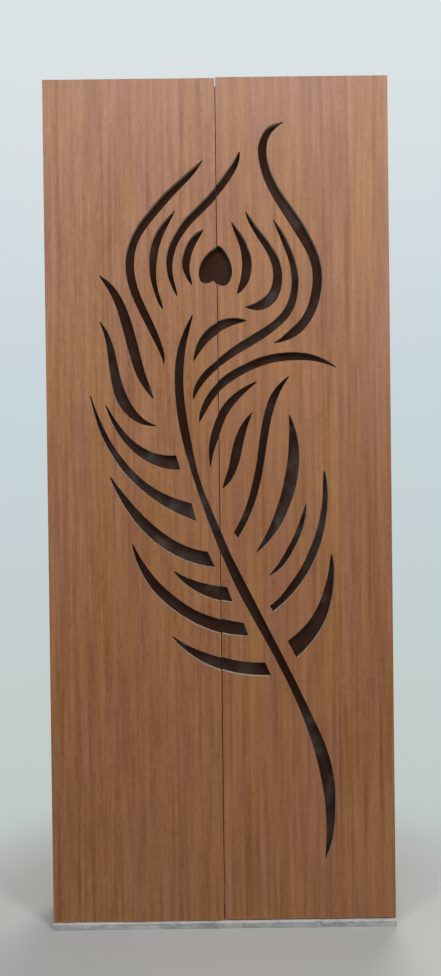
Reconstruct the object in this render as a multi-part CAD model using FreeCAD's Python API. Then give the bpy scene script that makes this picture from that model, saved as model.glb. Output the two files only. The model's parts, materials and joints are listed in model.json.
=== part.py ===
"""A pair of overlay door leaves with a routed feather, hung on a slim frame.

X runs to the right, Y runs back into the wall opening and Z runs up. The origin is on the
floor, under the middle of the assembly. Every length is in millimetres.
"""
import FreeCAD
import Part
import os

# Leaves
pair_width = 857.0
leaf_height = 2100.0
meeting_gap = 2.0
floor_clearance = 15.0
right_leaf_lift = 2.0
laminate_thickness = 1.0
board_thickness = 12.0
sheet_thickness = 3.0
panel_thickness = 12.0
band_thickness = 1.0
hinge_stile_width = 70.0
edge_chamfer = 3.0
infill_clearance = 0.3
sheet_setback = 0.3

# Frame
frame_depth = 100.0
frame_board = 18.0
frame_inset = 4.0
sill_height = 40.0
leaf_to_frame = 3.0
threshold_height = 13.0
threshold_nose = 8.0

# Routed feather
router_radius = 1.5

# Hinges
hinge_count = 4
hinge_end_offset = 110.0
cup_radius = 17.5
cup_depth = 13.0
cup_wall = 1.0
cup_inset = 4.0
flange_lip = 0.8
flange_thickness = 0.8
flange_length = 64.0
flange_width = 18.0
pivot_inset = 9.0
pivot_depth = 8.5
pin_radius = 1.25
pin_length = 20.0
pin_clearance = 0.05
eye_radius = 2.5
cheek_gap = 16.0
cheek_width = 7.0
arm_width = 12.0
arm_web = 2.5
arm_leg = 3.0
arm_reach = 55.0
plate_thickness = 2.0
plate_height = 46.0
plate_front = 6.0
plate_back = 62.0

# Fasteners
screw_clearance = 0.1
small_shank = 1.75
small_head = 3.3
small_head_height = 1.4
panel_shank = 1.75
panel_head = 3.4
panel_head_height = 1.7
panel_screw_length = 22.0
panel_screw_edge = 20.0
frame_shank = 2.0
frame_head = 4.2
frame_head_height = 2.4
head_screw_length = 50.0
sill_screw_length = 70.0
cup_screw_length = 11.0
cup_screw_spacing = 52.0
plate_screw_length = 13.0
plate_screw_spacing = 32.0
plate_screw_back = 22.0
arm_screw_length = 11.0
arm_screw_back = 44.0
recess_width = 0.8
recess_depth = 0.9

# Reach of a screw's cross recess, as a share of the head's radius
recess_share = 0.6

# Push latches
latch_offset = 30.0
latch_width = 18.0
latch_drop = 16.0
latch_length = 62.0
latch_setback = 3.0
latch_wall = 6.0
plunger_radius = 5.0
plunger_clearance = 0.1
plunger_length = 42.0
plunger_gap = 0.3
plunger_nose = 1.0
spring_wire = 0.5
spring_radius = 3.6
spring_turns = 5
strike_thickness = 1.2
strike_width = 16.0
strike_height = 24.0
latch_screw_length = 16.0
latch_ear = 10.0
latch_ear_thickness = 3.0

# Bumpers
bumper_radius = 5.0
bumper_clearance = 0.3
bumper_inset = 70.0
bumper_edge = 12.0

# Fixing holes for the wall
fixing_radius = 3.5
fixing_spacing_deep = 50.0
fixing_spacing_high = 1250.0

# Overrun of every cutting tool past the surface that it leaves
overrun = 2.0

# Derived places
leaf_width = (pair_width - meeting_gap) / 2
leaf_thickness = laminate_thickness + board_thickness + sheet_thickness + panel_thickness
total_depth = threshold_nose + leaf_thickness + leaf_to_frame + frame_depth
leaf_front = threshold_nose - total_depth / 2
board_front = leaf_front + laminate_thickness
sheet_front = board_front + board_thickness
panel_front = sheet_front + sheet_thickness
leaf_back = leaf_front + leaf_thickness
frame_front = leaf_back + leaf_to_frame
frame_back = frame_front + frame_depth
frame_half_width = pair_width / 2 - frame_inset
frame_top = floor_clearance + leaf_height - frame_inset
pivot_y = leaf_back - pivot_depth
cup_centre_inset = cup_inset + cup_radius
arm_leg_inset = frame_inset + frame_board + plate_thickness
fixing_middle_z = floor_clearance + leaf_height / 2
meeting_inset = leaf_width

# Places of the frame's corner screws, as shares of the frame's depth
frame_screw_shares = (0.25, 0.75)

# Heights of the panel screws, as shares of the leaf's height, clear of every routed cut
panel_screw_shares = (0.03, 0.14, 0.25, 0.328, 0.5, 0.59, 0.735, 0.83, 0.97)

# The feather. Each cut has two sides that start at the same end. A point is a share of the
# pair's width from its left edge and a share of the leaf's height from its bottom edge.
# Sides that share an end meet there in a rounded point, and the others in a square end.
cut_shares = {
    "crown_left_long": (
        ((0.461, 0.903), (0.4185, 0.890), (0.382, 0.8772), (0.341, 0.862), (0.3025, 0.844),
         (0.2705, 0.8275), (0.248, 0.810), (0.2345, 0.790), (0.235, 0.770), (0.2465, 0.750),
         (0.278, 0.7205), (0.3148, 0.690), (0.336, 0.671), (0.343, 0.663)),
        ((0.461, 0.903), (0.423, 0.881), (0.384, 0.865), (0.342, 0.8463), (0.302, 0.827),
         (0.274, 0.809), (0.261, 0.789), (0.2613, 0.770), (0.272, 0.7505), (0.3035, 0.7205),
         (0.334, 0.6905), (0.345, 0.672), (0.343, 0.663))),
    "crown_left_short": (
        ((0.379, 0.844), (0.346, 0.8315), (0.325, 0.820), (0.313, 0.8095), (0.306, 0.800),
         (0.3025, 0.785), (0.304, 0.770), (0.315, 0.7505), (0.333, 0.732), (0.341, 0.728)),
        ((0.379, 0.844), (0.3643, 0.8307), (0.3503, 0.8197), (0.340, 0.8096), (0.3325, 0.800),
         (0.3258, 0.785), (0.3237, 0.770), (0.3287, 0.750), (0.340, 0.734), (0.341, 0.728))),
    "crown_middle_long": (
        ((0.569, 0.912), (0.551, 0.901), (0.5235, 0.8852), (0.4945, 0.8705), (0.460, 0.8555),
         (0.422, 0.8405), (0.3995, 0.8305), (0.3835, 0.8205), (0.3685, 0.810), (0.357, 0.798),
         (0.352, 0.784), (0.3555, 0.770), (0.3705, 0.752), (0.383, 0.7435)),
        ((0.569, 0.912), (0.567, 0.8995), (0.549, 0.884), (0.5225, 0.8688), (0.4885, 0.853),
         (0.4515, 0.838), (0.4265, 0.828), (0.409, 0.8192), (0.393, 0.8095), (0.380, 0.798),
         (0.372, 0.784), (0.3715, 0.770), (0.3805, 0.753), (0.383, 0.7435))),
    "crown_middle_short": (
        ((0.461, 0.821), (0.433, 0.8155), (0.414, 0.8055), (0.4035, 0.795), (0.398, 0.782),
         (0.406, 0.769), (0.418, 0.760), (0.427, 0.7565)),
        ((0.461, 0.821), (0.453, 0.814), (0.4385, 0.8035), (0.428, 0.7935), (0.4215, 0.782),
         (0.4215, 0.770), (0.427, 0.7605), (0.427, 0.7565))),
    "eye": (
        ((0.5065, 0.8015), (0.493, 0.7995), (0.4785, 0.7957), (0.4645, 0.790), (0.4515, 0.781),
         (0.4465, 0.770), (0.4485, 0.7645), (0.455, 0.7592), (0.467, 0.758), (0.480, 0.7588),
         (0.489, 0.761)),
        ((0.5065, 0.8015), (0.517, 0.7985), (0.531, 0.790), (0.542, 0.779), (0.544, 0.770),
         (0.5375, 0.760), (0.5285, 0.7552), (0.5155, 0.7537), (0.5025, 0.7557), (0.489, 0.761))),
    "right_inner": (
        ((0.544, 0.829), (0.562, 0.8205), (0.578, 0.811), (0.591, 0.799), (0.601, 0.785),
         (0.600, 0.771), (0.5917, 0.759), (0.5755, 0.7492), (0.5585, 0.744)),
        ((0.544, 0.829), (0.549, 0.820), (0.558, 0.810), (0.567, 0.799), (0.5725, 0.785),
         (0.572, 0.771), (0.566, 0.7595), (0.5595, 0.7505), (0.5585, 0.744))),
    "right_middle": (
        ((0.585, 0.841), (0.6045, 0.831), (0.622, 0.821), (0.642, 0.811), (0.660, 0.800),
         (0.6755, 0.790), (0.685, 0.780), (0.690, 0.768), (0.689, 0.7567), (0.6825, 0.7453),
         (0.6665, 0.734), (0.6435, 0.7268), (0.6205, 0.7244), (0.5995, 0.7253), (0.580, 0.7285)),
        ((0.585, 0.841), (0.592, 0.8297), (0.6045, 0.8195), (0.6195, 0.8093), (0.6355, 0.7993),
         (0.6485, 0.7893), (0.6578, 0.7798), (0.6623, 0.768), (0.6605, 0.757), (0.652, 0.7475),
         (0.6335, 0.7393), (0.6095, 0.7333), (0.580, 0.7285))),
    "right_long": (
        ((0.665, 0.831), (0.686, 0.821), (0.7005, 0.811), (0.712, 0.801), (0.730, 0.780),
         (0.7375, 0.762), (0.7365, 0.750), (0.7255, 0.730), (0.7035, 0.7147), (0.678, 0.7045),
         (0.6435, 0.6938), (0.604, 0.6838), (0.559, 0.6733), (0.5245, 0.6642), (0.4885, 0.6533),
         (0.465, 0.6437), (0.4465, 0.634), (0.4265, 0.621)),
        ((0.665, 0.831), (0.6745, 0.820), (0.684, 0.810), (0.6935, 0.800), (0.710, 0.780),
         (0.716, 0.762), (0.7152, 0.7503), (0.700, 0.7305), (0.6727, 0.7157), (0.6365, 0.7047),
         (0.594, 0.6943), (0.558, 0.6855), (0.5265, 0.6765), (0.494, 0.666), (0.4625, 0.6555),
         (0.442, 0.645), (0.4285, 0.634), (0.4265, 0.621))),
    "right_hook": (
        ((0.696, 0.946), (0.674, 0.9445), (0.650, 0.940), (0.632, 0.930), (0.624, 0.920),
         (0.6227, 0.910), (0.6305, 0.890), (0.6485, 0.870), (0.675, 0.850), (0.706, 0.830),
         (0.736, 0.810), (0.763, 0.790), (0.7763, 0.770), (0.775, 0.750), (0.763, 0.7297),
         (0.7425, 0.7143), (0.704, 0.6992), (0.680, 0.6907), (0.663, 0.6857)),
        ((0.696, 0.946), (0.6745, 0.9388), (0.6563, 0.9295), (0.649, 0.920), (0.648, 0.910),
         (0.6585, 0.890), (0.681, 0.870), (0.7135, 0.850), (0.747, 0.830), (0.774, 0.8103),
         (0.795, 0.7903), (0.8058, 0.770), (0.804, 0.750), (0.7925, 0.730), (0.768, 0.710),
         (0.7455, 0.699), (0.7065, 0.6893), (0.663, 0.6857))),
    "brow": (
        ((0.584, 0.7125), (0.5605, 0.7157), (0.530, 0.7157), (0.500, 0.712), (0.4655, 0.7025),
         (0.4425, 0.6897), (0.4297, 0.6743), (0.428, 0.6662)),
        ((0.584, 0.7125), (0.5615, 0.7092), (0.532, 0.705), (0.5015, 0.6983), (0.4715, 0.6885),
         (0.455, 0.6808), (0.4415, 0.673), (0.428, 0.6662))),
    "arch": (
        ((0.843, 0.656), (0.8095, 0.6658), (0.770, 0.672), (0.720, 0.6747), (0.674, 0.6736),
         (0.626, 0.6695), (0.580, 0.6618), (0.540, 0.6535), (0.502, 0.6423), (0.4765, 0.6312),
         (0.4545, 0.6165), (0.4437, 0.603), (0.4437, 0.594)),
        ((0.843, 0.656), (0.815, 0.6598), (0.770, 0.664), (0.720, 0.6648), (0.6745, 0.6633),
         (0.621, 0.6578), (0.581, 0.6507), (0.542, 0.6415), (0.502, 0.6285), (0.4805, 0.618),
         (0.4643, 0.607), (0.451, 0.598), (0.4437, 0.594))),
    "barb_right_1": (
        ((0.6115, 0.640), (0.5745, 0.634), (0.5405, 0.6245), (0.511, 0.6115), (0.4897, 0.595),
         (0.4755, 0.577), (0.4693, 0.559), (0.472, 0.5455), (0.4745, 0.5415)),
        ((0.6115, 0.640), (0.5765, 0.6267), (0.546, 0.6135), (0.5195, 0.5972),
         (0.5045, 0.5807), (0.4915, 0.567), (0.481, 0.553), (0.4745, 0.5415))),
    "barb_right_2": (
        ((0.5975, 0.6035), (0.571, 0.5925), (0.5495, 0.576), (0.5358, 0.5563), (0.5242, 0.535),
         (0.513, 0.5215), (0.509, 0.514)),
        ((0.5975, 0.6035), (0.586, 0.590), (0.573, 0.571), (0.5627, 0.552), (0.5495, 0.5353),
         (0.528, 0.5205), (0.509, 0.514))),
    "barb_right_3": (
        ((0.705, 0.6457), (0.679, 0.638), (0.6535, 0.625), (0.6363, 0.608), (0.6255, 0.590),
         (0.6167, 0.569), (0.6093, 0.546), (0.597, 0.5222), (0.5823, 0.4997), (0.5635, 0.4797),
         (0.539, 0.4612)),
        ((0.705, 0.6457), (0.6915, 0.6365), (0.6757, 0.624), (0.6613, 0.608), (0.650, 0.590),
         (0.6407, 0.569), (0.6317, 0.546), (0.6207, 0.5222), (0.6055, 0.4997), (0.585, 0.479),
         (0.5525, 0.4545))),
    "barb_right_4": (
        ((0.7055, 0.600), (0.704, 0.580), (0.7022, 0.565), (0.6995, 0.550), (0.6915, 0.530),
         (0.681, 0.510), (0.6655, 0.490), (0.6467, 0.470), (0.6213, 0.4497), (0.6045, 0.437)),
        ((0.7055, 0.600), (0.725, 0.580), (0.732, 0.565), (0.7335, 0.550), (0.7297, 0.530),
         (0.7197, 0.510), (0.7022, 0.490), (0.6783, 0.470), (0.640, 0.4492), (0.6045, 0.437))),
    "barb_right_5": (
        ((0.751, 0.494), (0.7375, 0.4803), (0.719, 0.4607), (0.6935, 0.4405), (0.662, 0.420),
         (0.6415, 0.4095)),
        ((0.751, 0.494), (0.750, 0.480), (0.7373, 0.460), (0.714, 0.4393), (0.678, 0.4187),
         (0.6415, 0.4095))),
    "barb_right_6": (
        ((0.805, 0.5335), (0.8003, 0.515), (0.798, 0.497), (0.790, 0.478), (0.779, 0.4603),
         (0.7597, 0.440), (0.736, 0.420), (0.703, 0.400), (0.667, 0.382), (0.642, 0.3735)),
        ((0.805, 0.5335), (0.8145, 0.515), (0.8155, 0.497), (0.811, 0.478), (0.8025, 0.4602),
         (0.788, 0.440), (0.7655, 0.420), (0.7325, 0.3987), (0.690, 0.379), (0.6522, 0.3662))),
    "barb_right_7": (
        ((0.823, 0.4342), (0.8167, 0.420), (0.8063, 0.4002), (0.790, 0.3803), (0.7648, 0.3605),
         (0.732, 0.3447), (0.6927, 0.3315)),
        ((0.823, 0.4342), (0.8313, 0.420), (0.8305, 0.400), (0.8235, 0.380), (0.809, 0.3597),
         (0.781, 0.3382), (0.7497, 0.3222), (0.719, 0.3105))),
    "quill": (
        ((0.427, 0.7205), (0.401, 0.7025), (0.382, 0.680), (0.374, 0.660), (0.3725, 0.640),
         (0.380, 0.600), (0.400, 0.560), (0.429, 0.520), (0.4615, 0.4802), (0.4985, 0.440),
         (0.5395, 0.400), (0.590, 0.360), (0.6435, 0.320), (0.693, 0.280), (0.7355, 0.240),
         (0.7675, 0.200), (0.7895, 0.160), (0.800, 0.120), (0.7997, 0.095), (0.7968, 0.0695)),
        ((0.427, 0.7205), (0.4195, 0.7053), (0.4055, 0.680), (0.4, 0.660), (0.3985, 0.640),
         (0.407, 0.600), (0.424, 0.560), (0.4475, 0.520), (0.486, 0.480), (0.5255, 0.440),
         (0.5735, 0.400), (0.622, 0.360), (0.6717, 0.3195), (0.7197, 0.2797), (0.765, 0.240),
         (0.806, 0.200), (0.827, 0.160), (0.8275, 0.120), (0.819, 0.092), (0.7968, 0.0695))),
    "barb_left_1": (
        ((0.158, 0.7685), (0.1987, 0.756), (0.226, 0.7385), (0.2458, 0.7185), (0.2605, 0.6975),
         (0.2767, 0.6705), (0.290, 0.6503), (0.306, 0.631), (0.3105, 0.6225)),
        ((0.158, 0.7685), (0.1817, 0.7525), (0.2015, 0.7353), (0.2125, 0.7213), (0.2273, 0.698),
         (0.245, 0.670), (0.262, 0.650), (0.2925, 0.630), (0.3105, 0.6225))),
    "barb_left_2": (
        ((0.158, 0.714), (0.182, 0.7003), (0.1995, 0.6803), (0.2093, 0.660), (0.2213, 0.6402),
         (0.2407, 0.6205), (0.275, 0.601), (0.3175, 0.590)),
        ((0.158, 0.714), (0.168, 0.700), (0.1767, 0.680), (0.1818, 0.660), (0.189, 0.640),
         (0.2035, 0.620), (0.2397, 0.6007), (0.281, 0.5915), (0.3175, 0.590))),
    "barb_left_3": (
        ((0.172, 0.615), (0.195, 0.6003), (0.2248, 0.5837), (0.2547, 0.5712), (0.2912, 0.5614),
         (0.3325, 0.5557), (0.3745, 0.555)),
        ((0.172, 0.615), (0.184, 0.599), (0.2055, 0.5815), (0.2387, 0.564), (0.2785, 0.5507),
         (0.3307, 0.5407), (0.3865, 0.5377))),
    "barb_left_4": (
        ((0.1275, 0.6265), (0.1433, 0.6097), (0.1655, 0.588), (0.1915, 0.568), (0.2213, 0.5505),
         (0.2613, 0.5319), (0.306, 0.5172), (0.3525, 0.5068), (0.418, 0.4978)),
        ((0.1275, 0.6265), (0.1352, 0.609), (0.1525, 0.5845), (0.1785, 0.562), (0.2147, 0.5393),
         (0.2557, 0.5205), (0.3155, 0.5003), (0.370, 0.487), (0.432, 0.476))),
    "barb_left_5": (
        ((0.1825, 0.530), (0.2078, 0.5168), (0.2367, 0.5023), (0.2698, 0.4866), (0.308, 0.4717),
         (0.3515, 0.4578), (0.401, 0.4468), (0.463, 0.440)),
        ((0.1825, 0.530), (0.1965, 0.5137), (0.2225, 0.494), (0.2543, 0.475), (0.2963, 0.4565),
         (0.3445, 0.4413), (0.396, 0.430), (0.4845, 0.421))),
    "barb_left_6": (
        ((0.365, 0.417), (0.4, 0.4097), (0.4355, 0.4043), (0.473, 0.4003), (0.5185, 0.3965)),
        ((0.365, 0.417), (0.392, 0.4027), (0.4345, 0.3906), (0.4795, 0.3828), (0.5337, 0.3786))),
    "barb_left_7": (
        ((0.2445, 0.450), (0.263, 0.4367), (0.2895, 0.420), (0.3285, 0.4007), (0.372, 0.3853),
         (0.424, 0.3709), (0.485, 0.361), (0.566, 0.3537)),
        ((0.2445, 0.450), (0.252, 0.432), (0.2685, 0.4155), (0.301, 0.3944), (0.343, 0.3767),
         (0.4015, 0.3592), (0.4815, 0.344), (0.5795, 0.3375))),
    "barb_left_8": (
        ((0.357, 0.340), (0.396, 0.330), (0.440, 0.3218), (0.500, 0.3135), (0.557, 0.3082),
         (0.627, 0.3064)),
        ((0.357, 0.340), (0.3943, 0.3221), (0.440, 0.3087), (0.500, 0.2978), (0.557, 0.292),
         (0.6447, 0.2897))),
}
# Cuts whose ends are plain corners where the two sides meet
sharp_cuts = ("eye",)


def vector(x, y, z):
    return FreeCAD.Vector(x, y, z)


def block(x_pair, y_pair, z_pair):
    """A box between two places along each axis, given in either order."""
    low = vector(min(x_pair), min(y_pair), min(z_pair))
    high = vector(max(x_pair), max(y_pair), max(z_pair))
    size = high - low
    return Part.makeBox(size.x, size.y, size.z, low)


def joined(shapes):
    result = shapes[0]
    for shape in shapes[1:]:
        result = result.fuse(shape)
    return result.removeSplitter()


def without(shape, tools):
    return shape.cut(tools)


def save(name, shapes):
    shape = shapes[0] if len(shapes) == 1 else Part.makeCompound(shapes)
    if not shape.isValid():
        print("not valid:", name)
    shape.exportStep(os.path.join("parts", name + ".step"))
    print(name, len(shape.Solids), "solids")


def inset_x(side, inset):
    """The place that lies an inset in from the outer edge of the leaf on one side."""
    return side * (pair_width / 2 - inset)


def leaf_lift(side):
    return right_leaf_lift if side > 0 else 0.0


def leaf_bottom(side):
    return floor_clearance + leaf_lift(side)


def leaf_top(side):
    return leaf_bottom(side) + leaf_height


def hinge_heights(side):
    low = leaf_bottom(side) + hinge_end_offset
    high = leaf_top(side) - hinge_end_offset
    step = (high - low) / (hinge_count - 1)
    return [low + step * number for number in range(hinge_count)]


# Feather

def cut_point(share, side):
    x = (share[0] - 0.5) * pair_width
    z = leaf_bottom(side) + share[1] * leaf_height
    return vector(x, 0, z)


def rounded_tip(tip, last_a, last_b):
    """The two places where the sides leave a router-round tip, and the arc between them."""
    outward = (tip - (last_a + last_b) * 0.5).normalize()
    across = vector(-outward.z, 0, outward.x)
    if across.dot(last_a - last_b) < 0:
        across = across * -1
    centre = tip - outward * router_radius
    end_a = centre + across * router_radius
    end_b = centre - across * router_radius
    return end_a, end_b, Part.Arc(end_a, tip, end_b).toShape()


def spline(points):
    curve = Part.BSplineCurve()
    curve.interpolate(points)
    return curve.toShape()


def cut_face(name, side):
    """The flat outline of one cut of the feather."""
    side_a, side_b = [[cut_point(share, side) for share in shares] for shares in cut_shares[name]]
    caps = []
    for end, inner in ((0, 1), (-1, -2)):
        if (side_a[end] - side_b[end]).Length > router_radius:
            caps.append(Part.makeLine(side_a[end], side_b[end]))
        elif name not in sharp_cuts:
            ends = rounded_tip(side_a[end], side_a[inner], side_b[inner])
            side_a[end], side_b[end], cap = ends
            caps.append(cap)
    edges = [spline(side_a), spline(side_b)] + caps
    return Part.Face(Part.Wire(Part.__sortEdges__(edges)))


def feather_faces(side):
    return [cut_face(name, side) for name in cut_shares]


def cut_slab(x_pair, y_pair, z_pair, feather):
    """A slab with the feather cut right through it."""
    corners = [vector(x_pair[0], 0, z_pair[0]), vector(x_pair[1], 0, z_pair[0]),
               vector(x_pair[1], 0, z_pair[1]), vector(x_pair[0], 0, z_pair[1])]
    outline = Part.Face(Part.makePolygon(corners + corners[:1]))
    slabs = [face.extrude(vector(0, y_pair[1] - y_pair[0], 0))
             for face in outline.cut(feather).Faces]
    for slab in slabs:
        slab.translate(vector(0, y_pair[0], 0))
    return slabs


# Fasteners

def cross_recess(radius, top, along, across_a, across_b):
    """Two crossed slots that sink into a screw head from its top face."""
    bars = []
    for long_way, short_way in ((across_a, across_b), (across_b, across_a)):
        reach = long_way * radius + short_way * (recess_width / 2)
        low = top - reach - along * recess_depth
        high = top + reach + along * overrun
        bars.append(block((low.x, high.x), (low.y, high.y), (low.z, high.z)))
    return bars


def axes_across(direction):
    if abs(direction.x) > 0:
        return vector(0, 1, 0), vector(0, 0, 1)
    if abs(direction.y) > 0:
        return vector(1, 0, 0), vector(0, 0, 1)
    return vector(1, 0, 0), vector(0, 1, 0)


def pan_screw(seat, direction, shank, head, head_height, length):
    """A pan-head screw whose head stands on the seat and whose shank runs along direction."""
    shaft = Part.makeCylinder(shank, length, seat, direction)
    cap = Part.makeCylinder(head, head_height, seat - direction * head_height, direction)
    across_a, across_b = axes_across(direction)
    top = seat - direction * head_height
    recess = cross_recess(head * recess_share, top, direction * -1, across_a, across_b)
    return without(joined([shaft, cap]), recess)


def flush_screw(surface, direction, shank, head, head_height, length):
    """A countersunk screw whose head lies flush in the surface."""
    shaft = Part.makeCylinder(shank, length, surface, direction)
    cap = Part.makeCone(head, shank, head_height, surface, direction)
    across_a, across_b = axes_across(direction)
    recess = cross_recess(head * recess_share, surface, direction * -1, across_a, across_b)
    return without(joined([shaft, cap]), recess)


def screw_hole(surface, direction, shank, length):
    start = surface - direction * overrun
    return Part.makeCylinder(shank + screw_clearance, length + overrun + screw_clearance, start,
                             direction)


def flush_hole(surface, direction, shank, head, head_height, length):
    """A hole for a countersunk screw, with the same small clearance all round."""
    slope = (head - shank) / head_height
    start = surface - direction * overrun
    wide = head + screw_clearance + slope * overrun
    sink = Part.makeCone(wide, shank + screw_clearance, head_height + overrun, start, direction)
    return sink.fuse(screw_hole(surface, direction, shank, length))


# Places that several pieces share

def panel_screw_places(side):
    infill_edge = band_thickness + hinge_stile_width
    for inset in (infill_edge + panel_screw_edge, meeting_inset - panel_screw_edge):
        for share in panel_screw_shares:
            yield vector(inset_x(side, inset), leaf_back, leaf_bottom(side) + share * leaf_height)


def panel_screw_values():
    return panel_shank, panel_head, panel_head_height, panel_screw_length


def cup_screw_places(side):
    for height in hinge_heights(side):
        for end in (-0.5, 0.5):
            z = height + end * cup_screw_spacing
            yield vector(inset_x(side, cup_centre_inset), leaf_back + flange_thickness, z)


def plate_screw_places(side):
    for height in hinge_heights(side):
        for end in (-0.5, 0.5):
            z = height + end * plate_screw_spacing
            yield vector(inset_x(side, arm_leg_inset), frame_front + plate_screw_back, z)


def arm_screw_places(side):
    for height in hinge_heights(side):
        yield vector(inset_x(side, arm_leg_inset + arm_leg), frame_front + arm_screw_back, height)


def head_screw_places(side):
    for share in frame_screw_shares:
        yield vector(side * frame_half_width, frame_front + share * frame_depth,
                     frame_top - frame_board / 2)


def sill_screw_places(side):
    for share in frame_screw_shares:
        yield vector(side * (frame_half_width - frame_board / 2),
                     frame_front + share * frame_depth, threshold_height)


def frame_screw_values():
    return frame_shank, frame_head, frame_head_height


def latch_screw_places(side):
    latch_back = frame_front + latch_setback + latch_length
    return [vector(side * latch_offset, latch_back + latch_ear / 2,
                   frame_top - frame_board - latch_ear_thickness)]


def into_stile(side):
    """The direction from the doorway towards the wall on one side."""
    return vector(side, 0, 0)


# Leaf pieces

def leaf_face(side):
    return (inset_x(side, 0), inset_x(side, leaf_width)), (leaf_bottom(side), leaf_top(side))


def make_face_laminate(side, feather):
    x_pair, z_pair = leaf_face(side)
    return joined(cut_slab(x_pair, (leaf_front, board_front), z_pair, feather))


def make_face_board(side, feather):
    x_pair = (inset_x(side, band_thickness), inset_x(side, leaf_width - band_thickness))
    z_pair = (leaf_bottom(side) + band_thickness, leaf_top(side) - band_thickness)
    board = joined(cut_slab(x_pair, (board_front, sheet_front), z_pair, feather))
    holes = [screw_hole(place, vector(0, -1, 0), panel_shank, panel_screw_length)
             for place in panel_screw_places(side)]
    return without(board, holes)


def infill(side, y_pair, outer):
    """A sheet that fills the leaf behind the board, from the hinge stile to an inset."""
    inner = band_thickness + hinge_stile_width + infill_clearance
    z_pair = (leaf_bottom(side) + band_thickness + infill_clearance,
              leaf_top(side) - band_thickness - infill_clearance)
    return block((inset_x(side, inner), inset_x(side, outer)), y_pair, z_pair)


def make_dark_sheet(side):
    """The sheet runs out between the meeting bands, so that the cuts stay dark at the seam."""
    sheet = infill(side, (sheet_front, panel_front), leaf_width - sheet_setback)
    holes = [screw_hole(place, vector(0, -1, 0), panel_shank, panel_screw_length)
             for place in panel_screw_places(side)]
    return without(sheet, holes)


def make_back_panel(side):
    panel = infill(side, (panel_front, leaf_back), leaf_width - band_thickness - infill_clearance)
    holes = [flush_hole(place, vector(0, -1, 0), *panel_screw_values())
             for place in panel_screw_places(side)]
    return without(panel, holes)


def edge_chamfer_tool(side):
    """The wedge that takes the sharp back corner off the leaf's outer edge."""
    reach = edge_chamfer + overrun
    corner = [(-overrun, overrun), (reach, overrun), (-overrun, -reach)]
    low = leaf_bottom(side) - overrun
    points = [vector(inset_x(side, inset), leaf_back + depth, low) for inset, depth in corner]
    face = Part.Face(Part.makePolygon(points + points[:1]))
    return face.extrude(vector(0, 0, leaf_height + 2 * overrun))


def make_hinge_stile(side):
    x_pair = (inset_x(side, band_thickness), inset_x(side, band_thickness + hinge_stile_width))
    z_pair = (leaf_bottom(side) + band_thickness, leaf_top(side) - band_thickness)
    stile = block(x_pair, (sheet_front, leaf_back), z_pair)
    tools = [edge_chamfer_tool(side)]
    for height in hinge_heights(side):
        centre = vector(inset_x(side, cup_centre_inset), leaf_back + overrun, height)
        tools.append(Part.makeCylinder(cup_radius + screw_clearance, cup_depth + overrun
                                       + screw_clearance, centre, vector(0, -1, 0)))
    for place in cup_screw_places(side):
        tools.append(screw_hole(place, vector(0, -1, 0), small_shank, cup_screw_length))
    return without(stile, tools)


def make_edge_bands(side, feather):
    """The bands that close the leaf's edges, behind the laminate.

    The meeting edge has a front strip, which the feather cuts in lengths, and a back strip.
    """
    y_pair = (board_front, leaf_back)
    bottom = leaf_bottom(side)
    top = leaf_top(side)
    whole_width = (inset_x(side, 0), inset_x(side, leaf_width))
    between = (bottom + band_thickness, top - band_thickness)
    chamfer = [edge_chamfer_tool(side)]
    outer = block((inset_x(side, 0), inset_x(side, band_thickness)), y_pair, between)
    meeting_pair = (inset_x(side, leaf_width - band_thickness), inset_x(side, leaf_width))
    meeting = cut_slab(meeting_pair, (board_front, sheet_front), between, feather)
    meeting.append(block(meeting_pair, (panel_front, leaf_back), between))
    return {
        "top_band": [without(block(whole_width, y_pair, (top - band_thickness, top)), chamfer)],
        "bottom_band": [without(block(whole_width, y_pair, (bottom, bottom + band_thickness)),
                                chamfer)],
        "outer_band": [without(outer, chamfer)],
        "meeting_band": meeting,
    }


def make_hinge_cup(side, height):
    centre_x = inset_x(side, cup_centre_inset)
    back = vector(0, -1, 0)
    mouth = vector(centre_x, leaf_back, height)
    shell = Part.makeCylinder(cup_radius, cup_depth, mouth, back)
    lifted = mouth - back * flange_thickness
    ring = Part.makeCylinder(cup_radius + flange_lip, flange_thickness, lifted, back)
    wings = block((centre_x - flange_width / 2, centre_x + flange_width / 2),
                  (leaf_back, leaf_back + flange_thickness),
                  (height - flange_length / 2, height + flange_length / 2))
    over = mouth - back * (flange_thickness + overrun)
    pocket = Part.makeCylinder(cup_radius - cup_wall,
                               cup_depth - cup_wall + flange_thickness + overrun, over, back)
    pin_bore = Part.makeCylinder(pin_radius + screw_clearance, pin_length + 2 * screw_clearance,
                                 pin_base(side, height, pin_length + 2 * screw_clearance),
                                 vector(0, 0, 1))
    holes = [screw_hole(place, back, small_shank, cup_screw_length)
             for place in cup_screw_places(side) if abs(place.z - height) < cup_screw_spacing]
    hollow = without(joined([shell, ring, wings]), [pocket] + holes)
    cheeks = [pin_cheek(side, height, way).common(shell) for way in (-1, 1)]
    return without(joined([hollow] + cheeks), [pin_bore])


def pin_cheek(side, height, way):
    """A block that fills the cup at one end of the pin, before it is trimmed to the cup."""
    return block((inset_x(side, pivot_inset - cheek_width / 2),
                  inset_x(side, pivot_inset + cheek_width / 2)),
                 (leaf_back - cup_depth, leaf_back),
                 (height + way * cheek_gap / 2, height + way * cup_radius))


def pin_base(side, height, length):
    return vector(inset_x(side, pivot_inset), pivot_y, height - length / 2)


def make_hinge_pins(side):
    return [Part.makeCylinder(pin_radius, pin_length, pin_base(side, height, pin_length),
                              vector(0, 0, 1)) for height in hinge_heights(side)]


def make_cup_screws(side):
    return [pan_screw(place, vector(0, -1, 0), small_shank, small_head, small_head_height,
                      cup_screw_length) for place in cup_screw_places(side)]


def make_panel_screws(side):
    return [flush_screw(place, vector(0, -1, 0), *panel_screw_values())
            for place in panel_screw_places(side)]


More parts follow.
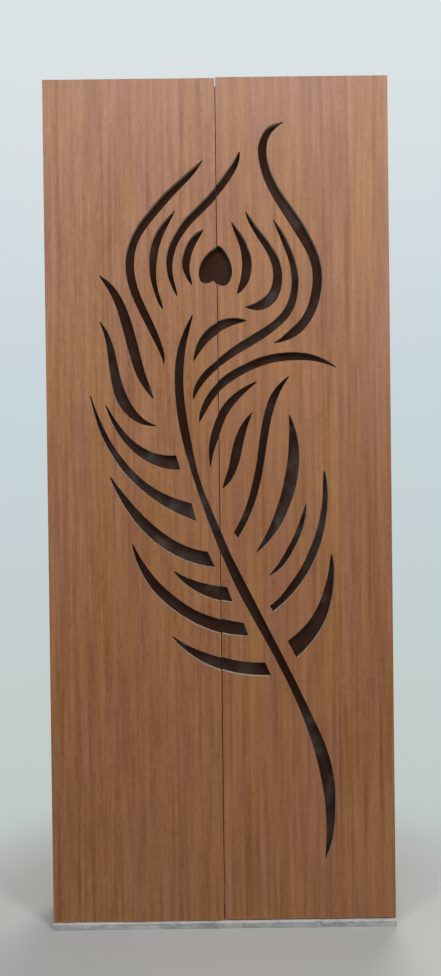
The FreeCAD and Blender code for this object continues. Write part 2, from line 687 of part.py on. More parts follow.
def make_strike_plate(side):
    x = side * latch_offset
    z = plunger_height()
    return block((x - strike_width / 2, x + strike_width / 2),
                 (leaf_back, leaf_back + strike_thickness),
                 (z - strike_height / 2, z + strike_height / 2))


def make_bumpers(side):
    """Two rubber buttons that meet the head rail and the sill rail."""
    heights = (floor_clearance + bumper_edge, frame_top - bumper_edge)
    x = side * (meeting_gap / 2 + bumper_inset)
    length = leaf_to_frame - bumper_clearance
    return [Part.makeCylinder(bumper_radius, length, vector(x, leaf_back, z), vector(0, 1, 0))
            for z in heights]


# Frame pieces

def make_frame_stile(side):
    x_pair = (side * frame_half_width, side * (frame_half_width - frame_board))
    stile = block(x_pair, (frame_front, frame_back), (sill_height, frame_top))
    inward = vector(-side, 0, 0)
    tools = []
    for place in plate_screw_places(side):
        tools.append(screw_hole(place, into_stile(side), small_shank, plate_screw_length))
    for place in arm_screw_places(side):
        tools.append(screw_hole(place, into_stile(side), small_shank, arm_screw_length))
    for place in head_screw_places(side):
        tools.append(flush_hole(place, inward, *frame_screw_values(), head_screw_length))
    for place in sill_screw_places(side):
        tools.append(screw_hole(place, vector(0, 0, 1), frame_shank, sill_screw_length))
    for deep in (-0.5, 0.5):
        for high in (-0.5, 0.5):
            start = vector(side * (frame_half_width + overrun),
                           (frame_front + frame_back) / 2 + deep * fixing_spacing_deep,
                           fixing_middle_z + high * fixing_spacing_high)
            tools.append(Part.makeCylinder(fixing_radius, frame_board + 2 * overrun, start,
                                           inward))
    return without(stile, tools)


def make_head_rail():
    half = frame_half_width - frame_board
    rail = block((-half, half), (frame_front, frame_back), (frame_top - frame_board, frame_top))
    tools = []
    for side in (-1, 1):
        for place in head_screw_places(side):
            tools.append(screw_hole(place, vector(-side, 0, 0), frame_shank, head_screw_length))
        for place in latch_screw_places(side):
            tools.append(screw_hole(place, vector(0, 0, 1), small_shank, latch_screw_length))
    return without(rail, tools)


def make_sill_rail():
    """The rail that lies on the threshold, as wide as the frame, with the stiles on it."""
    rail = block((-frame_half_width, frame_half_width), (frame_front, frame_back),
                 (threshold_height, sill_height))
    tools = [flush_hole(place, vector(0, 0, 1), *frame_screw_values(), sill_screw_length)
             for side in (-1, 1) for place in sill_screw_places(side)]
    return without(rail, tools)


def make_threshold():
    """The stone strip on the floor, whose nose stands out in front of the leaves."""
    return block((-pair_width / 2, pair_width / 2), (leaf_front - threshold_nose, frame_back),
                 (0, threshold_height))


def make_corner_screws():
    screws = []
    for side in (-1, 1):
        screws += [flush_screw(place, vector(-side, 0, 0), *frame_screw_values(),
                               head_screw_length) for place in head_screw_places(side)]
        screws += [flush_screw(place, vector(0, 0, 1), *frame_screw_values(),
                               sill_screw_length) for place in sill_screw_places(side)]
    return screws


def make_hinge_arm(side, height):
    """A cranked arm: an eye on the pin, a web inside the cup and a leg along the stile."""
    z_pair = (height - arm_width / 2, height + arm_width / 2)
    eye_base = vector(inset_x(side, pivot_inset), pivot_y, height - arm_width / 2)
    eye = Part.makeCylinder(eye_radius, arm_width, eye_base, vector(0, 0, 1))
    web = block((inset_x(side, pivot_inset), inset_x(side, arm_leg_inset + arm_leg)),
                (pivot_y - arm_web / 2, pivot_y + arm_web / 2), z_pair)
    leg = block((inset_x(side, arm_leg_inset), inset_x(side, arm_leg_inset + arm_leg)),
                (pivot_y - arm_web / 2, frame_front + arm_reach), z_pair)
    bore = Part.makeCylinder(pin_radius + pin_clearance, arm_width + 2 * overrun,
                             eye_base - vector(0, 0, overrun), vector(0, 0, 1))
    hole_place = vector(inset_x(side, arm_leg_inset + arm_leg), frame_front + arm_screw_back,
                        height)
    hole = screw_hole(hole_place, into_stile(side), small_shank, arm_screw_length)
    return without(joined([eye, web, leg]), [bore, hole])


def make_hinge_plates(side):
    plates = []
    for height in hinge_heights(side):
        plate = block((inset_x(side, arm_leg_inset - plate_thickness),
                       inset_x(side, arm_leg_inset)),
                      (frame_front + plate_front, frame_front + plate_back),
                      (height - plate_height / 2, height + plate_height / 2))
        tools = [screw_hole(place, into_stile(side), small_shank, plate_screw_length)
                 for place in plate_screw_places(side)]
        tools += [screw_hole(place, into_stile(side), small_shank, arm_screw_length)
                  for place in arm_screw_places(side)]
        plates.append(without(plate, tools))
    return plates


def make_hinge_screws(side):
    """The screws that hold the plates to the stile and the arms to the plates."""
    screws = [pan_screw(place, into_stile(side), small_shank, small_head, small_head_height,
                        plate_screw_length) for place in plate_screw_places(side)]
    screws += [pan_screw(place, into_stile(side), small_shank, small_head, small_head_height,
                         arm_screw_length) for place in arm_screw_places(side)]
    return screws


# Push latches

def plunger_height():
    return frame_top - frame_board - latch_drop / 2


def plunger_tip():
    return leaf_back + strike_thickness + plunger_gap


def make_latch_housing(side):
    x = side * latch_offset
    top = frame_top - frame_board
    front = frame_front + latch_setback
    back = front + latch_length
    body = block((x - latch_width / 2, x + latch_width / 2), (front, back),
                 (top - latch_drop, top))
    ear = block((x - latch_width / 2, x + latch_width / 2), (back, back + latch_ear),
                (top - latch_ear_thickness, top))
    bore = Part.makeCylinder(plunger_radius + plunger_clearance,
                             latch_length - latch_wall + overrun,
                             vector(x, front - overrun, plunger_height()), vector(0, 1, 0))
    holes = [screw_hole(place, vector(0, 0, 1), small_shank, latch_screw_length)
             for place in latch_screw_places(side)]
    return without(joined([body, ear]), [bore] + holes)


def make_latch_plunger(side):
    base = vector(side * latch_offset, plunger_tip(), plunger_height())
    rod = Part.makeCylinder(plunger_radius, plunger_length, base, vector(0, 1, 0))
    nose = [edge for edge in rod.Edges if abs(edge.BoundBox.YMax - base.y) < plunger_nose / 2]
    return rod.makeFillet(plunger_nose, nose)


def make_latch_spring(side):
    """A spring of round wire between the plunger's end and the closed end of the bore."""
    start = plunger_tip() + plunger_length + spring_wire
    end = frame_front + latch_setback + latch_length - latch_wall - spring_wire
    height = end - start
    helix = Part.makeHelix(height / spring_turns, height, spring_radius)
    wire_start = vector(spring_radius, 0, 0)
    profile = Part.Wire(Part.makeCircle(spring_wire, wire_start, vector(0, 1, 0)))
    coil = Part.Wire(helix.Edges).makePipeShell([profile], True, True)
    coil.rotate(vector(0, 0, 0), vector(1, 0, 0), -90)
    coil.translate(vector(side * latch_offset, start, plunger_height()))
    return coil


def make_latch_screws():
    return [pan_screw(place, vector(0, 0, 1), small_shank, small_head, small_head_height,
                      latch_screw_length)
            for side in (-1, 1) for place in latch_screw_places(side)]


def build_leaf(side, name):
    feather = feather_faces(side)
    save(name + "_face_laminate", [make_face_laminate(side, feather)])
    save(name + "_face_board", [make_face_board(side, feather)])
    save(name + "_dark_sheet", [make_dark_sheet(side)])
    save(name + "_back_panel", [make_back_panel(side)])
    save(name + "_hinge_stile", [make_hinge_stile(side)])
    for band_name, bands in make_edge_bands(side, feather).items():
        save(name + "_" + band_name, bands)
    for number, height in enumerate(hinge_heights(side), start=1):
        save(f"{name}_hinge_cup_{number}", [make_hinge_cup(side, height)])
    save(name + "_hinge_pins", make_hinge_pins(side))
    save(name + "_cup_screws", make_cup_screws(side))
    save(name + "_panel_screws", make_panel_screws(side))
    save(name + "_strike_plate", [make_strike_plate(side)])
    save(name + "_bumpers", make_bumpers(side))


def build_frame():
    save("frame_left_stile", [make_frame_stile(-1)])
    save("frame_right_stile", [make_frame_stile(1)])
    save("frame_head_rail", [make_head_rail()])
    save("frame_sill_rail", [make_sill_rail()])
    save("frame_threshold", [make_threshold()])
    save("frame_corner_screws", make_corner_screws())
    for side, name in ((-1, "left"), (1, "right")):
        for number, height in enumerate(hinge_heights(side), start=1):
            save(f"{name}_hinge_arm_{number}", [make_hinge_arm(side, height)])
        save(name + "_hinge_plates", make_hinge_plates(side))
        save(name + "_hinge_screws", make_hinge_screws(side))


def build_latches():
    for side, name in ((-1, "left"), (1, "right")):
        save(name + "_latch_housing", [make_latch_housing(side)])
        save(name + "_latch_plunger", [make_latch_plunger(side)])
    save("latch_springs", [make_latch_spring(side) for side in (-1, 1)])
    save("latch_screws", make_latch_screws())


def main():
    os.makedirs("parts", exist_ok=True)
    build_leaf(-1, "left")
    build_leaf(1, "right")
    build_frame()
    build_latches()


main()
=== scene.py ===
"""Looks for a pair of overlay door leaves with a routed feather, on a slim frame.

Everything is in metres, in the part's own frame: X to the right, Y back into the wall opening,
Z up, with the origin on the floor under the middle. Colours are linear. The scale of a pattern
is given for each axis, in steps of the noise for each metre.
"""
import json
import math

import bpy
from mathutils import Matrix, Vector

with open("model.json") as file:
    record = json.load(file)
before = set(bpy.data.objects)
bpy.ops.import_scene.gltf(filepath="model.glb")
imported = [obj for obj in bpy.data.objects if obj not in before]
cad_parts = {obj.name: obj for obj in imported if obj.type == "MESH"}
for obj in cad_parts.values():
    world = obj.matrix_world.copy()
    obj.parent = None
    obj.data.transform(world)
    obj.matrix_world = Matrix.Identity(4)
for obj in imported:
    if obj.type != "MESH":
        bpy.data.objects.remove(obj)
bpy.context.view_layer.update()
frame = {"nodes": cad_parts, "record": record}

nodes = frame["nodes"]
scene = bpy.context.scene
scene.view_settings.view_transform = "Standard"

IMAGE_HEIGHT = 976
FOCAL_PIXELS = 733.0
SENSOR_WIDTH_MM = 36.0
CLIP_NEAR = 0.05
CLIP_FAR = 60.0

CAMERA_PLACE = (-0.0004, -1.8882, 1.1111)
CAMERA_YAW = math.radians(-0.082)
CAMERA_PITCH = math.radians(-0.434)
CAMERA_ROLL = math.radians(0.692)


class Graph:
    """A material or world under construction, with short calls for its nodes."""

    def __init__(self, owner):
        owner.use_nodes = True
        self.tree = owner.node_tree
        self.tree.nodes.clear()

    def node(self, kind, inputs=(), **settings):
        made = self.tree.nodes.new(kind)
        for name, value in settings.items():
            setattr(made, name, value)
        for socket, value in dict(inputs).items():
            self.feed(made.inputs[socket], value)
        return made

    def feed(self, socket, value):
        """Links a socket or node to the socket, or sets the socket to a constant."""
        if isinstance(value, bpy.types.NodeSocket):
            self.tree.links.new(value, socket)
        elif isinstance(value, bpy.types.Node):
            self.tree.links.new(value.outputs[0], socket)
        elif isinstance(value, tuple) and len(value) == 3 and socket.type == "RGBA":
            socket.default_value = (*value, 1.0)
        else:
            socket.default_value = value

    def place(self, scale, shift=(0.0, 0.0, 0.0)):
        """Object coordinates, stretched by a scale for each axis."""
        coordinates = self.node("ShaderNodeTexCoord")
        mapping = self.node("ShaderNodeMapping", {"Vector": coordinates.outputs["Object"],
                                                  "Scale": scale, "Location": shift})
        return mapping.outputs[0]

    def noise(self, where, detail, roughness=0.5, distortion=0.0):
        made = self.node("ShaderNodeTexNoise", {"Vector": where, "Scale": 1.0,
                                                "Detail": detail, "Roughness": roughness,
                                                "Distortion": distortion})
        return made.outputs["Fac"]

    def even_noise(self, scale, detail, roughness=0.5):
        """Noise of the same scale along every axis."""
        return self.noise(self.place((scale, scale, scale)), detail, roughness)

    def math(self, operation, first, second=0.0, third=None):
        inputs = {0: first, 1: second}
        if third is not None:
            inputs[2] = third
        return self.node("ShaderNodeMath", inputs, operation=operation).outputs[0]

    def around(self, value, middle, width):
        """Turns 0 to 1 into a range of that width about the middle."""
        return self.math("MULTIPLY_ADD", value, width, middle - width / 2)

    def span(self, value, low, high, to_low=0.0, to_high=1.0):
        """Maps low to high onto to_low to to_high, held at the ends."""
        made = self.node("ShaderNodeMapRange", {"Value": value, "From Min": low,
                                                "From Max": high, "To Min": to_low,
                                                "To Max": to_high})
        return made.outputs[0]

    def mix(self, share, first, second, blend="MIX"):
        made = self.node("ShaderNodeMix", data_type="RGBA", blend_type=blend)
        first_color, second_color = made.inputs[6], made.inputs[7]
        self.feed(made.inputs[0], share)
        self.feed(first_color, first)
        self.feed(second_color, second)
        return made.outputs[2]

    def ramp(self, value, stops):
        """Colours by value, from pairs of a position and a colour."""
        made = self.node("ShaderNodeValToRGB", {"Fac": value})
        elements = made.color_ramp.elements
        while len(elements) < len(stops):
            elements.new(0.5)
        for element, (position, color) in zip(elements, stops):
            element.position = position
            element.color = (*color, 1.0)
        return made.outputs["Color"]

    def bump(self, height, strength, distance):
        inputs = {"Height": height, "Strength": strength, "Distance": distance}
        return self.node("ShaderNodeBump", inputs).outputs[0]

    def surface(self, inputs):
        """A principled shader with these inputs as the material's surface."""
        shader = self.node("ShaderNodeBsdfPrincipled", inputs)
        output = self.node("ShaderNodeOutputMaterial")
        self.tree.links.new(shader.outputs[0], output.inputs["Surface"])


def new_material(name):
    made = bpy.data.materials.new(name)
    return made, Graph(made)


def scaled(color, factor):
    return tuple(part * factor for part in color)


# Wood

STREAK_SWING = 1.1
LINE_SWING = 0.38
MOTTLE_SWING = 0.36
FLECK_SWING = 0.43
MIDDLE_TONE = 1.01
DARK_LINE_DEPTH = 0.17
CHANNEL_GAINS = (0.86, 1.15, 1.45)
PINKISH = (0.985, 0.945, 1.07)
GOLDEN = (1.035, 1.03, 0.79)
PORE_TONE = 0.36
PORE_SHARE = 0.5
PORE_SINK = -0.8


def grained(name, base, along="Z", shift=(0.0, 0.0, 0.0), contrast=1.0, roughness=0.46,
            pores=1.0):
    """Straight-grained veneer print: soft streaks, dark and fine lines, flecks and pores."""
    made, graph = new_material(name)

    def stretched(across, length):
        """Coordinates with one scale across the grain and another along it."""
        scale = {"X": (length, across, across), "Z": (across, across, length)}[along]
        return graph.place(scale, shift)

    def swing(value, strength):
        return graph.around(value, 0.0, strength * contrast)

    def tinted(factors):
        return tuple(part * factor for part, factor in zip(base, factors))

    streaks = graph.noise(stretched(84.0, 2.6), detail=3.0, roughness=0.64)
    darks = graph.noise(stretched(75.0, 0.8), detail=2.0, roughness=0.6)
    lines = graph.noise(stretched(420.0, 5.0), detail=3.0, roughness=0.6)
    mottle = graph.noise(stretched(60.0, 14.0), detail=3.0, roughness=0.6)
    flecks = graph.noise(stretched(210.0, 75.0), detail=2.0)
    dashes = graph.noise(stretched(1300.0, 60.0), detail=2.0, roughness=0.4)
    tint = graph.noise(stretched(21.0, 2.4), detail=2.0)

    tone = graph.math("ADD", swing(streaks, STREAK_SWING), swing(lines, LINE_SWING))
    tone = graph.math("ADD", tone, swing(mottle, MOTTLE_SWING))
    tone = graph.math("ADD", tone, swing(flecks, FLECK_SWING))
    dark_line = graph.span(darks, 0.58, 0.7, 0.0, DARK_LINE_DEPTH * contrast)
    tone = graph.math("SUBTRACT", graph.math("ADD", tone, MIDDLE_TONE), dark_line)
    color = graph.mix(graph.span(tint, 0.3, 0.62), tinted(PINKISH), tinted(GOLDEN))
    tones = {number: graph.math("MULTIPLY_ADD", tone, gain, 1.0 - gain)
             for number, gain in enumerate(CHANNEL_GAINS)}
    color = graph.mix(1.0, color, graph.node("ShaderNodeCombineXYZ", tones), "MULTIPLY")
    pore = graph.span(dashes, 0.6, 0.68)
    color = graph.mix(graph.math("MULTIPLY", pore, PORE_SHARE * pores), color,
                      scaled(base, PORE_TONE))
    height = graph.math("MULTIPLY_ADD", pore, PORE_SINK, lines)
    graph.surface({"Base Color": color, "Roughness": graph.around(streaks, roughness, 0.12),
                   "Specular IOR Level": 0.5,
                   "Normal": graph.bump(height, strength=0.12, distance=0.0002)})
    return made


# Boards, sheets, paint and stone

BOARD_TONES = ((0.3, (0.32, 0.237, 0.165)), (0.55, (0.43, 0.332, 0.24)),
               (0.75, (0.51, 0.405, 0.305)))
GLOSS_TONES = ((0.35, (0.033, 0.0137, 0.0078)), (0.6, (0.037, 0.0163, 0.0096)),
               (0.75, (0.041, 0.0205, 0.0135)))
GLOSS_DUST = (0.09, 0.088, 0.084)
LAMINATE_TONES = ((0.3, (0.6, 0.57, 0.52)), (0.7, (0.68, 0.65, 0.6)))
MARBLE_TONES = ((0.3, (0.2, 0.201, 0.192)), (0.5, (0.35, 0.347, 0.328)),
                (0.72, (0.53, 0.522, 0.5)))
MARBLE_VEIN = (0.62, 0.61, 0.58)
MARBLE_GRAIN = (0.1, 0.1, 0.1)
MARBLE_PAINTED_HIGHLIGHT = (0.66, 0.64, 0.6)
VEIN_SHIFT = (3.1, 0.4, 1.7)
VEIN_HALF_WIDTH = 0.06


def pale_board():
    """Bare cut board: pale pressed fibres in thin layers behind the face."""
    made, graph = new_material("raw_board_fibres")
    layers = graph.noise(graph.place((30.0, 900.0, 30.0)), detail=3.0)
    fibres = graph.noise(graph.place((700.0, 1400.0, 700.0)), detail=4.0, roughness=0.65)
    average = graph.math("MULTIPLY_ADD", fibres, 0.5, graph.math("MULTIPLY", layers, 0.5))
    graph.surface({"Base Color": graph.ramp(average, BOARD_TONES), "Roughness": 0.85,
                   "Specular IOR Level": 0.25,
                   "Normal": graph.bump(fibres, strength=0.35, distance=0.0003)})
    return made


def dark_gloss():
    """Near-black brown gloss sheet with a faint waviness and a little dust."""
    made, graph = new_material("dark_gloss_acrylic")
    waves = graph.noise(graph.place((11.0, 11.0, 7.0)), detail=2.0)
    cloud = graph.noise(graph.place((26.0, 26.0, 15.0)), detail=4.0, roughness=0.6)
    dust = graph.even_noise(900.0, detail=2.0)
    color = graph.ramp(cloud, GLOSS_TONES)
    color = graph.mix(graph.span(dust, 0.68, 0.74, 0.0, 0.25), color, GLOSS_DUST)
    graph.surface({"Base Color": color, "Roughness": graph.span(cloud, 0.3, 0.75, 0.03, 0.09),
                   "IOR": 1.5, "Specular IOR Level": 0.55,
                   "Normal": graph.bump(waves, strength=0.2, distance=0.001)})
    return made


def pale_laminate():
    """Matt balancing laminate for the leaf's back."""
    made, graph = new_material("pale_back_laminate")
    cloud = graph.noise(graph.place((3.0, 3.0, 1.2)), detail=4.0)
    peel = graph.even_noise(420.0, detail=3.0)
    graph.surface({"Base Color": graph.ramp(cloud, LAMINATE_TONES), "Roughness": 0.55,
                   "Specular IOR Level": 0.4,
                   "Normal": graph.bump(peel, strength=0.12, distance=0.0003)})
    return made


def painted(name, base):
    """Brushed-out paint on wood: slight strokes and uneven shine."""
    made, graph = new_material(name)
    strokes = graph.noise(graph.place((2.0, 160.0, 160.0)), detail=4.0)
    patches = graph.even_noise(9.0, detail=3.0)
    color = graph.mix(graph.span(patches, 0.35, 0.7), scaled(base, 0.93), scaled(base, 1.06))
    graph.surface({"Base Color": color, "Roughness": graph.around(patches, 0.6, 0.14),
                   "Specular IOR Level": 0.25,
                   "Normal": graph.bump(strokes, strength=0.15, distance=0.0003)})
    return made


def marble():
    """Honed grey marble with clouds, pale veins and fine grains; a painted highlight pales its
    upward faces.
    """
    made, graph = new_material("grey_veined_marble")
    bend = graph.noise(graph.place((5.0, 14.0, 14.0)), detail=5.0, roughness=0.6)
    cloud = graph.noise(graph.place((14.0, 30.0, 30.0)), detail=6.0, roughness=0.62,
                        distortion=0.8)
    vein = graph.noise(graph.place((26.0, 60.0, 60.0), VEIN_SHIFT), detail=7.0,
                       roughness=0.6, distortion=1.6)
    from_vein = graph.math("ABSOLUTE", graph.math("SUBTRACT", vein, 0.5))
    ridge = graph.span(from_vein, 0.0, VEIN_HALF_WIDTH, 1.0, 0.0)
    grains = graph.even_noise(650.0, detail=3.0)
    color = graph.ramp(cloud, MARBLE_TONES)
    color = graph.mix(graph.math("MULTIPLY", ridge, graph.span(bend, 0.42, 0.6, 0.1, 0.75)),
                      color, MARBLE_VEIN)
    color = graph.mix(graph.span(grains, 0.6, 0.75, 0.0, 0.35), color, MARBLE_GRAIN)
    # Painted highlight: faces that point up are mixed, in patches, toward a paler tone, as if
    # lit from above.
    normal = graph.node("ShaderNodeNewGeometry").outputs["Normal"]
    upward = graph.node("ShaderNodeSeparateXYZ", {0: normal}).outputs["Z"]
    top = graph.math("MULTIPLY", graph.span(upward, 0.5, 0.9),
                     graph.span(cloud, 0.38, 0.56, 0.35, 0.9))
    color = graph.mix(top, color, MARBLE_PAINTED_HIGHLIGHT)
    graph.surface({"Base Color": color, "Roughness": graph.span(cloud, 0.3, 0.7, 0.3, 0.45),
                   "Normal": graph.bump(grains, strength=0.08, distance=0.0003)})
    return made


# Hardware

def metal(name, base, roughness, lines=(260.0, 260.0, 9.0)):
    """Plated steel with fine draw lines and faint handling marks."""
    made, graph = new_material(name)
    drawn = graph.noise(graph.place(lines), detail=4.0, roughness=0.6)
    marks = graph.even_noise(140.0, detail=4.0, roughness=0.65)
    color = graph.mix(graph.span(marks, 0.35, 0.7), scaled(base, 0.82), base)
    graph.surface({"Base Color": color, "Metallic": 1.0,
                   "Roughness": graph.around(marks, roughness, 0.22),
                   "Normal": graph.bump(drawn, strength=0.1, distance=0.0001)})
    return made


def moulded(name, base, roughness):
    """Moulded plastic or rubber with a fine even grain."""
    made, graph = new_material(name)
    fine = graph.even_noise(1800.0, detail=2.0)
    broad = graph.even_noise(60.0, detail=3.0)
    color = graph.mix(graph.span(broad, 0.3, 0.7), scaled(base, 0.92), scaled(base, 1.06))
    graph.surface({"Base Color": color, "Roughness": graph.around(fine, roughness, 0.12),
                   "Normal": graph.bump(fine, strength=0.25, distance=0.0002)})
    return made


# Materials on the pieces

TEAK = (0.304, 0.126, 0.0528)
FRAME_TEAK = scaled(TEAK, 0.92)

left_teak = grained("teak_laminate_left", TEAK, shift=(1.7, 0.3, 0.1))
right_teak = grained("teak_laminate_right", TEAK, shift=(5.2, 2.9, 0.8))
stile_teak = grained("teak_frame_upright", FRAME_TEAK, shift=(9.4, 1.1, 0.0))
head_teak = grained("teak_frame_level", FRAME_TEAK, along="X", shift=(0.4, 7.7, 3.3))
band_teak = grained("teak_band_level", TEAK, along="X", shift=(4.4, 0.9, 6.2))

SLOT_MATERIALS = {
    "frame_teak": stile_teak,
    "stile_wood": grained("planed_softwood", base=(0.52, 0.36, 0.2), shift=(2.2, 6.1, 0.6),
                          contrast=0.8, roughness=0.55, pores=0.4),
    "raw_board": pale_board(),
    "dark_gloss_sheet": dark_gloss(),
    "back_laminate": pale_laminate(),
    # The sill's grey paint is made near-black, partly painted shade so the sill reads dark
    # inside the closet.
    "sill_grey": painted("grey_sill_paint_darkened_as_shade", base=(0.042, 0.042, 0.041)),
    "threshold_stone": marble(),
    "hinge_steel": metal("nickel_plate", base=(0.62, 0.6, 0.56), roughness=0.3),
    "pin_steel": metal("ground_pin_steel", base=(0.56, 0.56, 0.57), roughness=0.24,
                       lines=(40.0, 40.0, 700.0)),
    "screw_steel": metal("zinc_plate", base=(0.64, 0.61, 0.52), roughness=0.36,
                         lines=(300.0, 300.0, 300.0)),
    "strike_steel": metal("satin_strike_steel", base=(0.6, 0.6, 0.6), roughness=0.38),
    "spring_steel": metal("spring_wire", base=(0.4, 0.4, 0.42), roughness=0.32,
                          lines=(900.0, 200.0, 900.0)),
    "latch_plastic": moulded("latch_body_plastic", base=(0.075, 0.077, 0.082), roughness=0.5),
    "plunger_plastic": moulded("plunger_plastic", base=(0.55, 0.55, 0.53), roughness=0.4),
    "bumper_rubber": moulded("bumper_rubber", base=(0.035, 0.035, 0.036), roughness=0.75),
}


def dress(node, material):
    """Gives every material slot of a CAD node the same material."""
    mesh = nodes[node].data
    if not mesh.materials:
        mesh.materials.append(material)
    for number in range(len(mesh.materials)):
        mesh.materials[number] = material


for entry in frame["record"]["subparts"]:
    node_name = entry["node"]
    slot_name = entry["material_slot"]
    if slot_name == "teak_laminate":
        dress(node_name, left_teak if node_name.startswith("left") else right_teak)
    else:
        dress(node_name, SLOT_MATERIALS[slot_name])

# The level pieces have their grain along X.
dress("frame_head_rail", head_teak)
for side in ("left", "right"):
    for edge in ("top", "bottom"):
        dress(f"{side}_{edge}_band", band_teak)


# Floor and background

FLOOR_TONES = ((0.43, 0.415, 0.38), (0.5, 0.483, 0.44))
FLOOR_REACH = 3.0
FLOOR_SOLID = 0.66
FLOOR_FADE = 1.2
FLOOR_CENTRE = -0.35
FLOOR_DROP = 0.0008

# The opening between the frame boards, by its lower left and upper right corners, and a plane
# just inside the back of the frame.
# The closet tones are near-black: painted shade for the unlit closet behind the doorway.
CLOSET_SHADE_TONES = ((0.02, 0.019, 0.018), (0.035, 0.033, 0.031))
DOORWAY = ((-0.4065, 0.04), (0.4065, 2.093))
DOORWAY_DEPTH = 0.069


def stage_plane(name, corners, material):
    mesh = bpy.data.meshes.new(name)
    mesh.from_pydata(corners, [], [(0, 1, 2, 3)])
    mesh.materials.append(material)
    plane = bpy.data.objects.new(name, mesh)
    scene.collection.objects.link(plane)
    return plane


def see_through(graph, solid, share):
    """Shows the solid shader by a share, and what lies behind it by the rest."""
    clear = graph.node("ShaderNodeBsdfTransparent")
    mixed = graph.node("ShaderNodeMixShader", {0: share, 1: clear, 2: solid})
    output = graph.node("ShaderNodeOutputMaterial")
    graph.tree.links.new(mixed.outputs[0], output.inputs["Surface"])


def make_floor():
    """A pale floor that fades into the backdrop away from the doors."""
    made, graph = new_material("pale_floor_finish")
    soft = graph.even_noise(1.2, detail=3.0)
    solid = graph.node("ShaderNodeBsdfPrincipled", {"Base Color": graph.mix(soft, *FLOOR_TONES),
                                                    "Roughness": 0.6,
                                                    "Specular IOR Level": 0.3})
    around = graph.place((1.0, 1.0, 0.0), (0.0, -FLOOR_CENTRE, 0.0))
    distance = graph.node("ShaderNodeVectorMath", {0: around},
                          operation="LENGTH").outputs["Value"]
    share = graph.node("ShaderNodeMapRange", {"Value": distance, "From Min": FLOOR_SOLID,
                                              "From Max": FLOOR_FADE, "To Min": 1.0,
                                              "To Max": 0.0}, interpolation_type="SMOOTHSTEP")
    see_through(graph, solid, share.outputs[0])
    reach = FLOOR_REACH
    plane = stage_plane("pale_floor",
                        [(-reach, -reach, -FLOOR_DROP), (reach, -reach, -FLOOR_DROP),
                         (reach, reach, -FLOOR_DROP), (-reach, reach, -FLOOR_DROP)], made)
    plane.visible_glossy = False


def make_closet_painted_shade():
    """A near-black plane behind the doorway that paints the shade of an unlit closet. Only its
    front shows, and it takes no light away.
    """
    made, graph = new_material("closet_painted_shade")
    cloud = graph.even_noise(3.0, detail=3.0)
    solid = graph.node("ShaderNodeBsdfDiffuse", {"Color": graph.mix(cloud, *CLOSET_SHADE_TONES)})
    from_behind = graph.node("ShaderNodeNewGeometry").outputs["Backfacing"]
    see_through(graph, solid, graph.math("SUBTRACT", 1.0, from_behind))
    (left, bottom), (right, top) = DOORWAY
    depth = DOORWAY_DEPTH
    plane = stage_plane("closet_painted_shade", [(left, depth, bottom), (right, depth, bottom),
                                        (right, depth, top), (left, depth, top)], made)
    plane.visible_shadow = False
    plane.visible_diffuse = False
    plane.visible_glossy = False
    plane.visible_transmission = False


# Light

BACKDROP_HEIGHTS = (-0.6, 0.6)
BACKDROP_TONES = ((0.07, (0.5, 0.52, 0.5)), (0.2, (0.535, 0.6, 0.58)),
                  (0.6, (0.578, 0.665, 0.708)), (0.93, (0.72, 0.77, 0.785)))
ROOM_TONES = ((0.48, (0.02, 0.015, 0.012)), (0.54, (0.08, 0.074, 0.077)),
              (0.58, (0.34, 0.34, 0.36)), (0.62, (1.0, 1.0, 1.0)))
BROAD_PATCHES = (6.0, 6.0, 4.5)
SMALL_PATCHES = (85.0, 85.0, 60.0)
SMALL_SHARE = 0.62
AMBIENT_COLOR = (0.8, 0.84, 0.88)
AMBIENT_HEIGHTS = (-0.3, 0.5)
AMBIENT_BELOW = 0.07
AMBIENT_ABOVE = 0.27

SKY_WHITE = (0.71, 0.84, 1.0)
WINDOW_WHITE = (1.0, 0.98, 0.95)
PLAIN_WHITE = (1.0, 1.0, 1.0)


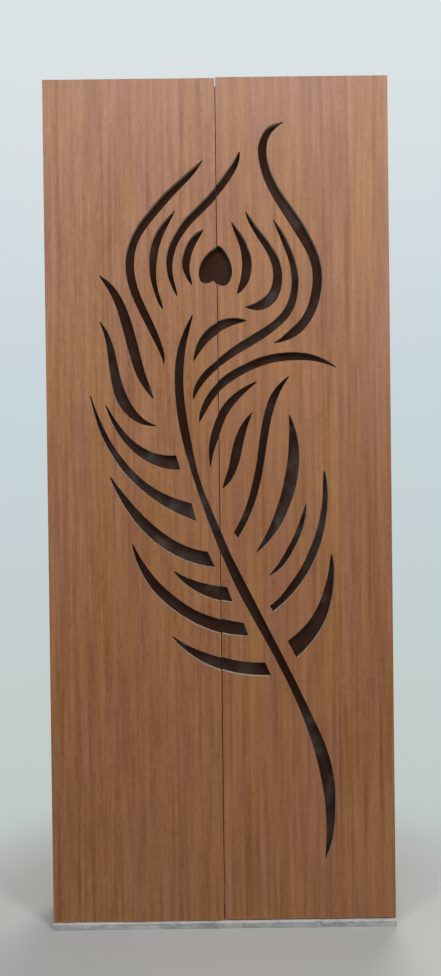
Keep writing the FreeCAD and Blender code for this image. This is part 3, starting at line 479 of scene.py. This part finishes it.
def make_world():
    """A pale backdrop for the eye, a patchy room for reflections, and even soft light."""
    world = bpy.data.worlds.new("soft_studio")
    scene.world = world
    graph = Graph(world)
    paths = graph.node("ShaderNodeLightPath")
    camera_ray = paths.outputs["Is Camera Ray"]
    mirror_ray = paths.outputs["Is Glossy Ray"]
    seen = graph.math("MAXIMUM", camera_ray, paths.outputs["Is Transmission Ray"])
    view = graph.node("ShaderNodeTexCoord").outputs["Generated"]
    upward = graph.node("ShaderNodeSeparateXYZ", {0: view}).outputs["Z"]
    backdrop = graph.ramp(graph.span(upward, *BACKDROP_HEIGHTS), BACKDROP_TONES)
    broad = graph.node("ShaderNodeMapping", {"Vector": view, "Scale": BROAD_PATCHES})
    small = graph.node("ShaderNodeMapping", {"Vector": view, "Scale": SMALL_PATCHES})
    broad_part = graph.math("MULTIPLY", graph.noise(broad.outputs[0], detail=2.0),
                            1.0 - SMALL_SHARE)
    room = graph.math("MULTIPLY_ADD", graph.noise(small.outputs[0], detail=2.0), SMALL_SHARE,
                      broad_part)
    color = graph.mix(mirror_ray, AMBIENT_COLOR, graph.ramp(room, ROOM_TONES))
    color = graph.mix(seen, color, backdrop)
    ambient = graph.span(upward, *AMBIENT_HEIGHTS, AMBIENT_BELOW, AMBIENT_ABOVE)
    strength = graph.math("MAXIMUM", graph.math("MAXIMUM", seen, mirror_ray), ambient)
    shader = graph.node("ShaderNodeBackground", {"Color": color, "Strength": strength})
    output = graph.node("ShaderNodeOutputWorld")
    graph.tree.links.new(shader.outputs[0], output.inputs["Surface"])


def make_lamp(name, place, aim_height, size, power, color):
    """A soft rectangular lamp that points at the middle of the part, at a height on it."""
    data = bpy.data.lights.new(name, "AREA")
    data.shape = "RECTANGLE"
    data.size, data.size_y = size
    data.energy = power
    data.color = color
    lamp = bpy.data.objects.new(name, data)
    scene.collection.objects.link(lamp)
    lamp.location = place
    direction = Vector((0.0, 0.0, aim_height)) - Vector(place)
    lamp.rotation_euler = direction.to_track_quat("-Z", "Y").to_euler()


def make_camera():
    data = bpy.data.cameras.new("front_camera")
    data.sensor_fit = "AUTO"
    data.sensor_width = SENSOR_WIDTH_MM
    data.lens = SENSOR_WIDTH_MM * FOCAL_PIXELS / IMAGE_HEIGHT
    data.clip_start = CLIP_NEAR
    data.clip_end = CLIP_FAR
    camera = bpy.data.objects.new("front_camera", data)
    scene.collection.objects.link(camera)
    camera.location = CAMERA_PLACE
    turn = (Matrix.Rotation(CAMERA_YAW, 3, "Z") @ Matrix.Rotation(CAMERA_PITCH, 3, "X")
            @ Matrix.Rotation(CAMERA_ROLL, 3, "Y"))
    upright = turn @ Matrix.Rotation(math.radians(90.0), 3, "X")
    camera.rotation_euler = upright.to_euler()
    scene.camera = camera


make_floor()
make_closet_painted_shade()
make_world()
make_lamp("high_key", place=(0.3, -1.9, 3.7), aim_height=1.2, size=(3.2, 1.1), power=74.0,
          color=SKY_WHITE)
make_lamp("left_window", place=(-1.9, -2.2, 2.5), aim_height=1.5, size=(0.6, 1.4), power=34.0,
          color=WINDOW_WHITE)
make_lamp("right_window", place=(1.9, -2.2, 2.3), aim_height=1.4, size=(0.6, 1.4), power=37.0,
          color=WINDOW_WHITE)
make_lamp("back_fill", place=(0.9, 2.5, 3.5), aim_height=1.0, size=(2.4, 1.6), power=85.0,
          color=PLAIN_WHITE)
make_camera()
